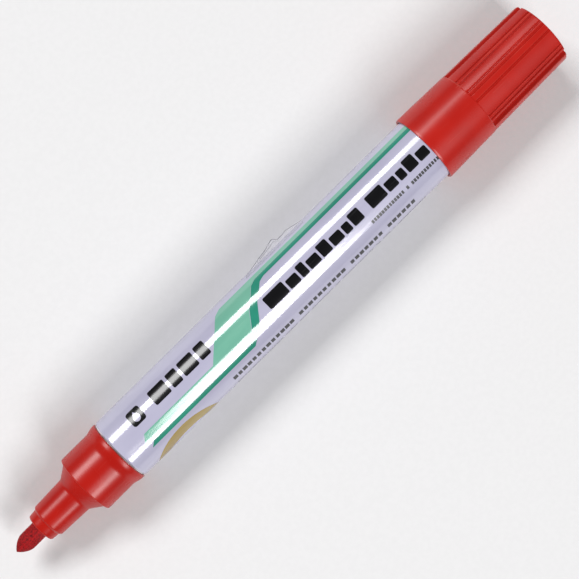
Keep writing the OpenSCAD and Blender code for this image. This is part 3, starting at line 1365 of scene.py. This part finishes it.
@dataclass
class Barrel:
    """The aluminium tube and the film round it. Sizes are millimetres.

    Args:
        film_radius: Outer radius over the film.
        film: Thickness of the film.
        wall: Thickness of the tube.
        neck: Length of the straight rim.
        shoulder: Length of the rounded shoulder.
        neck_in: How far the rim is necked in.
        seam_deg: Width of the gap between the film's two edges.
        flap_span: Where the loose overwrap starts and ends along the pen.
        flap_hinge: The turn at which it leaves the film, in degrees.
        flap_reach: How far it reaches round the barrel.
        flap_crest: How far its free edge stands off, by share of its length.
    """

    film_radius: float = 7.5
    film: float = 0.1
    wall: float = 0.4
    neck: float = 0.3
    shoulder: float = 0.5
    neck_in: float = 0.18
    seam_deg: float = 2.4
    flap_span: tuple[float, float] = (74.0, 90.6)
    flap_hinge: float = -64.0
    flap_reach: float = 3.7
    flap_crest: tuple[tuple[float, float], ...] = (
        (0.0, 0.0), (0.28, 0.5), (0.56, 1.35), (0.60, 0.62), (0.74, 0.72), (1.0, 0.1),
    )

    def _shoulder(self, radius: float, start: float, end: float) -> list[Ring]:
        """Points along the rounded shoulder.

        Args:
            radius: The radius behind it.
            start: The share of its length where the points start.
            end: The share where they end.

        Returns:
            The points.
        """
        foot = AXIS.rim + self.neck
        shares = [start + (end - start) * k / 8 for k in range(9)]
        return [
            (foot + self.shoulder * t, radius - self.neck_in * (1 - math.sin(math.pi / 2 * t)))
            for t in shares
        ]

    def _tube(self) -> bpy.types.Object:
        """The drawn tube with its necked rim and dished end.

        Returns:
            The new piece.
        """
        rim, radius, end = AXIS.rim, self.film_radius - self.film, AXIS.tube_end
        bore, dish, behind = radius - self.wall, 0.5, rim + 6
        bared = radius - self.neck_in
        mouth = [(rim, bore - self.neck_in), (rim, bared - 0.08), (rim + 0.12, bared)]
        outside = rounded([
            Corner(behind, radius), Corner(end, radius, 2.2), Corner(end, 5.0, 0.35),
            Corner(end - dish, 4.6, 0.35), Corner(end - dish, 0.0),
        ], closed=False, steps=10)
        inside = rounded([
            Corner(end - dish - self.wall, 0.0), Corner(end - dish - self.wall, 4.8, 0.2),
            Corner(end - self.wall, 5.3, 0.2), Corner(end - self.wall, bore, 1.4), Corner(behind, bore),
        ], closed=False)
        rings = mouth + self._shoulder(radius, 0, 1) + outside + inside + self._shoulder(bore, 1, 0)
        return weld(turned("drawn_tube", spaced(rings, 1.5, False) + rings[:1], closed=False))
    def _film(self) -> bpy.types.Object:
        """The wrapped film, with its seam at the bottom.

        Returns:
            The new piece.
        """
        end, behind = (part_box("wrap_label")[1].x - AXIS.tip_x) / MM, AXIS.rim + 6
        outer, inner = self.film_radius, self.film_radius - self.film + 0.002
        straight = [(behind, outer), (end - 0.05, outer), (end, outer - 0.03)]
        outside = self._shoulder(outer, 0.2, 1) + straight
        inside = [(end, inner), (behind, inner)] + self._shoulder(inner, 1, 0.2)
        return turned("film_wrap", spaced(outside + inside, 1.5), 240, True, self.seam_deg)

    def _flap_rise(self, share: float) -> float:
        """How far the loose film's free edge stands off, by its share of the flap's length.

        Args:
            share: The place along the film, from 0 to 1.

        Returns:
            The height, in millimetres.
        """
        crest = self.flap_crest
        for (a, low), (b, high) in zip(crest, crest[1:]):
            if share <= b:
                return low + (high - low) * (share - a) / (b - a)
        return crest[-1][1]

    def _flap_point(self, share: float, out: float, lift: float) -> Vector:
        """A point on the loose film.

        Args:
            share: Its place along the film, from 0 to 1.
            out: Its place from the hinge to the free edge, from 0 to 1.
            lift: How far it lies above the film's underside, in millimetres.

        Returns:
            The point's place in the frame.
        """
        rise = self._flap_rise(share)
        start, end = self.flap_span
        width = self.flap_reach * (0.35 + 0.65 * min(1.0, rise)) * out
        wrinkle = 1 + 0.10 * math.sin(share * 23 + out * 2)
        radius = self.film_radius + 0.02 + lift + rise * wrinkle * out ** 1.5
        turn = math.radians(self.flap_hinge) - width / self.film_radius
        return AXIS.point(start + (end - start) * share + 0.4 * out, radius, turn)

    def _flap(self) -> bpy.types.Object:
        """A strip of the clear overwrap that has come away on the upper left side.

        Returns:
            The new piece.
        """
        columns, rows = 60, 12
        bm = bmesh.new()
        low, high = ([
            [bm.verts.new(self._flap_point(i / columns, j / rows, lift)) for j in range(rows + 1)]
            for i in range(columns + 1)
        ] for lift in (0.0, 0.03))
        for i in range(columns):
            for j in range(rows):
                bm.faces.new((low[i][j], low[i][j + 1], low[i + 1][j + 1], low[i + 1][j]))
                bm.faces.new((high[i][j], high[i + 1][j], high[i + 1][j + 1], high[i][j + 1]))
        border = [(i, 0) for i in range(columns)] + [(columns, j) for j in range(rows)]
        border += [(columns - i, rows) for i in range(columns)] + [(0, rows - j) for j in range(rows)]
        for (i, j), (k, m) in zip(border, border[1:] + border[:1]):
            bm.faces.new((low[i][j], low[k][m], high[k][m], high[i][j]))
        return finish_mesh("film_flap", bm)

    def _flap_edge_shade(self) -> bpy.types.Object:
        """Dark tubes along the loose film's free edge and along a crease behind it: painted shade where
        the clear film is seen edge-on.

        Returns:
            The new piece.
        """
        bm = bmesh.new()
        steps, sides, middle = 60, 6, 0.015
        for first, last, out, thick in ((0.0, 1.0, 1.0, 0.075), (0.22, 0.62, 0.72, 0.05)):
            loops = []
            for i in range(steps + 1):
                spot = self._flap_point(first + (last - first) * i / steps, out, middle)
                thin = thick * MM * max(0.15, math.sin(math.pi * i / steps)) ** 0.5
                turns = [math.tau * k / sides for k in range(sides)]
                spokes = [Vector((0, math.cos(t), math.sin(t))) for t in turns]
                loops.append([bm.verts.new(spot + spoke * thin) for spoke in spokes])
            for a, b in zip(loops, loops[1:]):
                for k in range(sides):
                    n = (k + 1) % sides
                    bm.faces.new((a[k], a[n], b[n], b[k]))
            bm.faces.new(loops[0])
            bm.faces.new(loops[-1])
        return finish_mesh("film_flap_edge_shade", bm)

    def make(self) -> None:
        """Builds and dresses the tube, the film, its print and the loose flap."""
        dress(self._tube(), Finish.ALUMINIUM, Body.BARREL, ["barrel_tube"])
        dress(self._film(), Finish.FILM, Body.BARREL, ["wrap_label"])
        Print(self.film_radius, AXIS.tube_end - 3.2).make()
        dress(self._flap(), Finish.CLEAR, Body.BARREL)
        # Painted shade along the flap's free edge and crease.
        dress(self._flap_edge_shade(), Finish.FLAP_EDGE_SHADE, Body.BARREL)


@dataclass
class Cap:
    """The posted cap and the inner cap pressed into it. Sizes are millimetres.

    Args:
        lip_radius: Radius over the lip.
        skirt: Length of the smooth skirt.
        skirt_radius: Radius of the skirt at the step.
        grip_radius: Radius of the grip at the step.
        end_radius: Radius of the grip at the closed end.
        bore: Radius of the bore that the barrel goes into.
        stop: Depth of the shoulder behind the barrel.
        core: Radius of the hollow behind that.
        seat: Radius of the inner cap's seat.
        seat_length: Length of that seat.
        end_wall: Thickness of the closed end.
        dish: Depth of the dish in the closed end.
        seal: Radius of the inner cap's bore.
        seal_wall: Wall of the inner cap.
        seal_length: Length of the inner cap.
        grooves: The grooves of half the grip, which repeat on the other half.
    """

    lip_radius: float = 8.23
    skirt: float = 13.4
    skirt_radius: float = 7.95
    grip_radius: float = 7.87
    end_radius: float = 7.54
    bore: float = 7.55
    stop: float = 12.85
    core: float = 5.8
    seat: float = 6.2
    seat_length: float = 1.15
    end_wall: float = 1.45
    dish: float = 0.3
    seal: float = 4.33
    seal_wall: float = 0.85
    seal_length: float = 19.6
    grooves: tuple[Groove, ...] = (
        Groove(-70, 14, 0.8), Groove(-42, 3.2, 0.28), Groove(-34, 4.4, 0.32),
        Groove(-16, 3.2, 0.28), Groove(-9, 3.2, 0.28), Groove(5, 3.6, 0.32),
        Groove(36, 3.2, 0.28), Groove(44, 3.6, 0.32), Groove(57, 13, 0.8),
    )

    def _shell(self) -> bpy.types.Object:
        """The shell, turned first and then cut with its grip grooves.

        Returns:
            The new piece.
        """
        m, end = AXIS.mouth, AXIS.end
        step, stop = m + self.skirt, m + self.stop
        outline = (
            (m, self.bore + 0.2, 0.05), (m, self.lip_radius - 0.06, 0.12),
            (m + 0.4, self.lip_radius, 0.2),
            (step, self.skirt_radius, 0.06), (step + 0.1, self.grip_radius, 0.04),
            (step + 0.45, self.grip_radius - 0.005), (end, self.end_radius, 0.42),
            (end, 5.3, 0.12), (end - self.dish, 5.0, 0.12), (end - self.dish, 0.0),
        )
        inner = (
            (end - self.end_wall, 0.0), (end - self.end_wall, self.core, 0.3),
            (stop + self.seat_length, self.core), (stop + self.seat_length, self.seat),
            (stop, self.seat, 0.1), (stop, self.bore, 0.1),
            (m + 0.5, self.bore, 0.1), (m, self.bore + 0.2),
        )
        outside, inside = cornered(outline), cornered(inner)
        rings = spaced(outside, 0.9, False) + spaced(inside, 2.0, False)
        blank = weld(turned("cap_blank", rings, 600, False))
        return grown("cap_moulding", grip_tree(self.grooves), {
            "Axis height": AXIS.height, "Start": AXIS.tip_x + (step + 0.12) * MM,
            "End": AXIS.tip_x + end * MM, "Start radius": self.grip_radius * MM,
            "End radius": self.end_radius * MM, "Run in": 0.32 * MM, "Flank": 1.0,
            "Finish": Finish.CAP_RED.material,
        }, blank)

    def _inner(self) -> bpy.types.Object:
        """The sleeve that seals on the nib holder when the pen is closed.

        Returns:
            The new piece.
        """
        start, wall = AXIS.mouth + self.stop + 0.1, self.seal_wall
        flange, rim = self.seat - 0.02, self.seal + 0.9
        end = start + self.seal_length
        outline = (
            (start, rim, 0.1), (start, flange, 0.15), (start + 1.0, flange, 0.15),
            (start + 1.0, self.seal + wall, 0.2), (end, self.seal + wall, 1.1), (end, 0.0),
        )
        inner = (
            (end - wall, 0.0), (end - wall, self.seal, 0.7),
            (start + 1.2, self.seal, 0.3), (start, rim),
        )
        outside, inside = cornered(outline), cornered(inner)
        return weld(turned("inner_sleeve", spaced(outside + inside, 1.5, False), 128, False))

    def make(self) -> None:
        """Builds and dresses both pieces."""
        dress(self._shell(), Finish.CAP_RED, Body.CAP, ["cap_shell"])
        dress(self._inner(), Finish.MILKY, Body.CAP, ["inner_cap"])


@dataclass
class Reservoir:
    """The ink reservoir and its film, which keep their CAD shapes."""

    def make(self) -> None:
        """Gives both nodes their materials."""
        for node, finish in (("ink_reservoir", Finish.RESERVOIR), ("reservoir_sheath", Finish.CLEAR)):
            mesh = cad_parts[node].data
            mesh.materials.clear()
            mesh.materials.append(finish.material)
            log.info("%s: dressed", node)


# ---------------------------------------------------------------- the studio


@dataclass
class Softbox:
    """A long softbox beside the pen. Lengths are metres.

    Args:
        name: The light's name.
        side: 1 for the +Y side and -1 for the -Y side.
        lean_deg: Its angle from straight above the pen.
        spread_deg: Its width, as an angle seen from the pen.
        start: X of its end beyond the nib.
        end: X of its end beyond the cap.
        radiance: Its brightness.
        distance: How far it is from the pen.
    """

    name: str
    side: int
    lean_deg: float
    spread_deg: float
    start: float
    end: float
    radiance: float = 13.9
    distance: float = 1.8

    def make(self) -> None:
        """Adds the light."""
        lamp = bpy.data.lights.new(self.name, "AREA")
        lamp.shape = "RECTANGLE"
        lamp.size = self.end - self.start
        lamp.size_y = 2 * self.distance * math.tan(math.radians(self.spread_deg / 2))
        lamp.energy = self.radiance * math.pi * lamp.size * lamp.size_y
        lean = math.radians(self.lean_deg)
        middle = Vector((
            (self.start + self.end) / 2,
            self.side * self.distance * math.sin(lean),
            AXIS.height + self.distance * math.cos(lean),
        ))
        away, along = (middle - Vector((middle.x, 0, AXIS.height))).normalized(), Vector((1, 0, 0))
        posed(self.name, lamp, middle, (along, away.cross(along), away))


@dataclass
class Studio:
    """The floor, the lights and the camera.

    Args:
        lens: Focal length, in millimetres.
        stand: The camera's place, in metres.
        aim: The point that it looks at, in metres.
        roll_deg: How far the picture's upright leans from X towards Y.
        pale: The floor's colour.
        half_floor: Half the floor's width, in metres.
    """

    lens: float = 99.7
    stand: tuple[float, float, float] = (-0.0068, 0.0056, 0.3443)
    aim: tuple[float, float] = (0.00155, -0.00115)
    roll_deg: float = 45.3
    pale: Colour = (0.80, 0.795, 0.80)
    half_floor: float = 3.0

    def _floor(self) -> None:
        """A pale floor that the cap's lip and the flange both touch."""
        cap_x, cap_z = AXIS.tip_x + AXIS.mouth * MM, AXIS.height - Cap.lip_radius * MM
        rim_x, rim_z = AXIS.tip_x + (AXIS.rim - 0.6) * MM, AXIS.height - WritingEnd.flange_radius * MM
        slope, half = (cap_z - rim_z) / (cap_x - rim_x), self.half_floor
        square = ((-half, -half), (half, -half), (half, half), (-half, half))
        mesh = bpy.data.meshes.new("floor")
        mesh.from_pydata([(x, y, cap_z + (x - cap_x) * slope) for x, y in square], [], [(0, 1, 2, 3)])
        material, nodes, shader, place = new_material("pale paper")
        tone = nodes.ramp(nodes.noise(place, 900.0, 4.0), 0.3, 0.7)
        nodes.feed_all(shader, {
            "Base Color": nodes.mix(tone, self.pale, tuple(c * 1.02 for c in self.pale)),
            "Roughness": 0.95,
            "Specular IOR Level": 0.1,
        })
        mesh.materials.append(material)
        floor = linked("floor", mesh)

    def _camera(self) -> None:
        """The camera, almost straight above the pen."""
        data = bpy.data.cameras.new("camera")
        data.lens = self.lens
        data.sensor_width = 36
        data.clip_start, data.clip_end = 0.01, 20
        place = Vector(self.stand)
        back = (place - Vector((*self.aim, AXIS.height))).normalized()
        lean = math.radians(self.roll_deg)
        right = Vector((math.cos(lean), math.sin(lean), 0)).cross(back).normalized()
        bpy.context.scene.camera = posed("camera", data, place, (right, back.cross(right), back))

    def _surroundings(self) -> None:
        """A dim, even room."""
        world = bpy.data.worlds.new("room")
        world.use_nodes = True
        world.node_tree.nodes.clear()
        nodes = Nodes(world.node_tree)
        glow = nodes.new("ShaderNodeBackground", {"Color": (1.0, 1.0, 1.0, 1.0), "Strength": 0.15})
        nodes.new("ShaderNodeOutputWorld", {"Surface": glow.outputs[0]})
        bpy.context.scene.world = world

    def make(self) -> None:
        """Sets up the studio."""
        bpy.context.scene.view_settings.view_transform = "Standard"
        self._camera()
        self._floor()
        self._surroundings()
        for name, *sizes in (
            ("left_softbox", 1, 42.5, 19.0, -0.52, 0.125),
            ("left_narrow_softbox", 1, 40.5, 15.0, 0.125, 0.31),
            ("left_strip", 1, 42.0, 3.0, 0.395, 0.47, 60.0),
            ("right_softbox", -1, 49.0, 15.0, -0.52, 0.16),
            ("right_inner_softbox", -1, 33.0, 17.0, -0.185, 0.13),
        ):
            Softbox(name, *sizes).make()


def main() -> None:
    """Builds the studio and the marker, one sub-assembly at a time."""
    logging.basicConfig(level=logging.INFO, format="%(name)s %(message)s")
    for part in (Studio(), Reservoir(), WritingEnd(), Barrel(), Cap()):
        log.info("making %s", type(part).__name__)
        part.make()


if __name__ == "__main__":
    main()
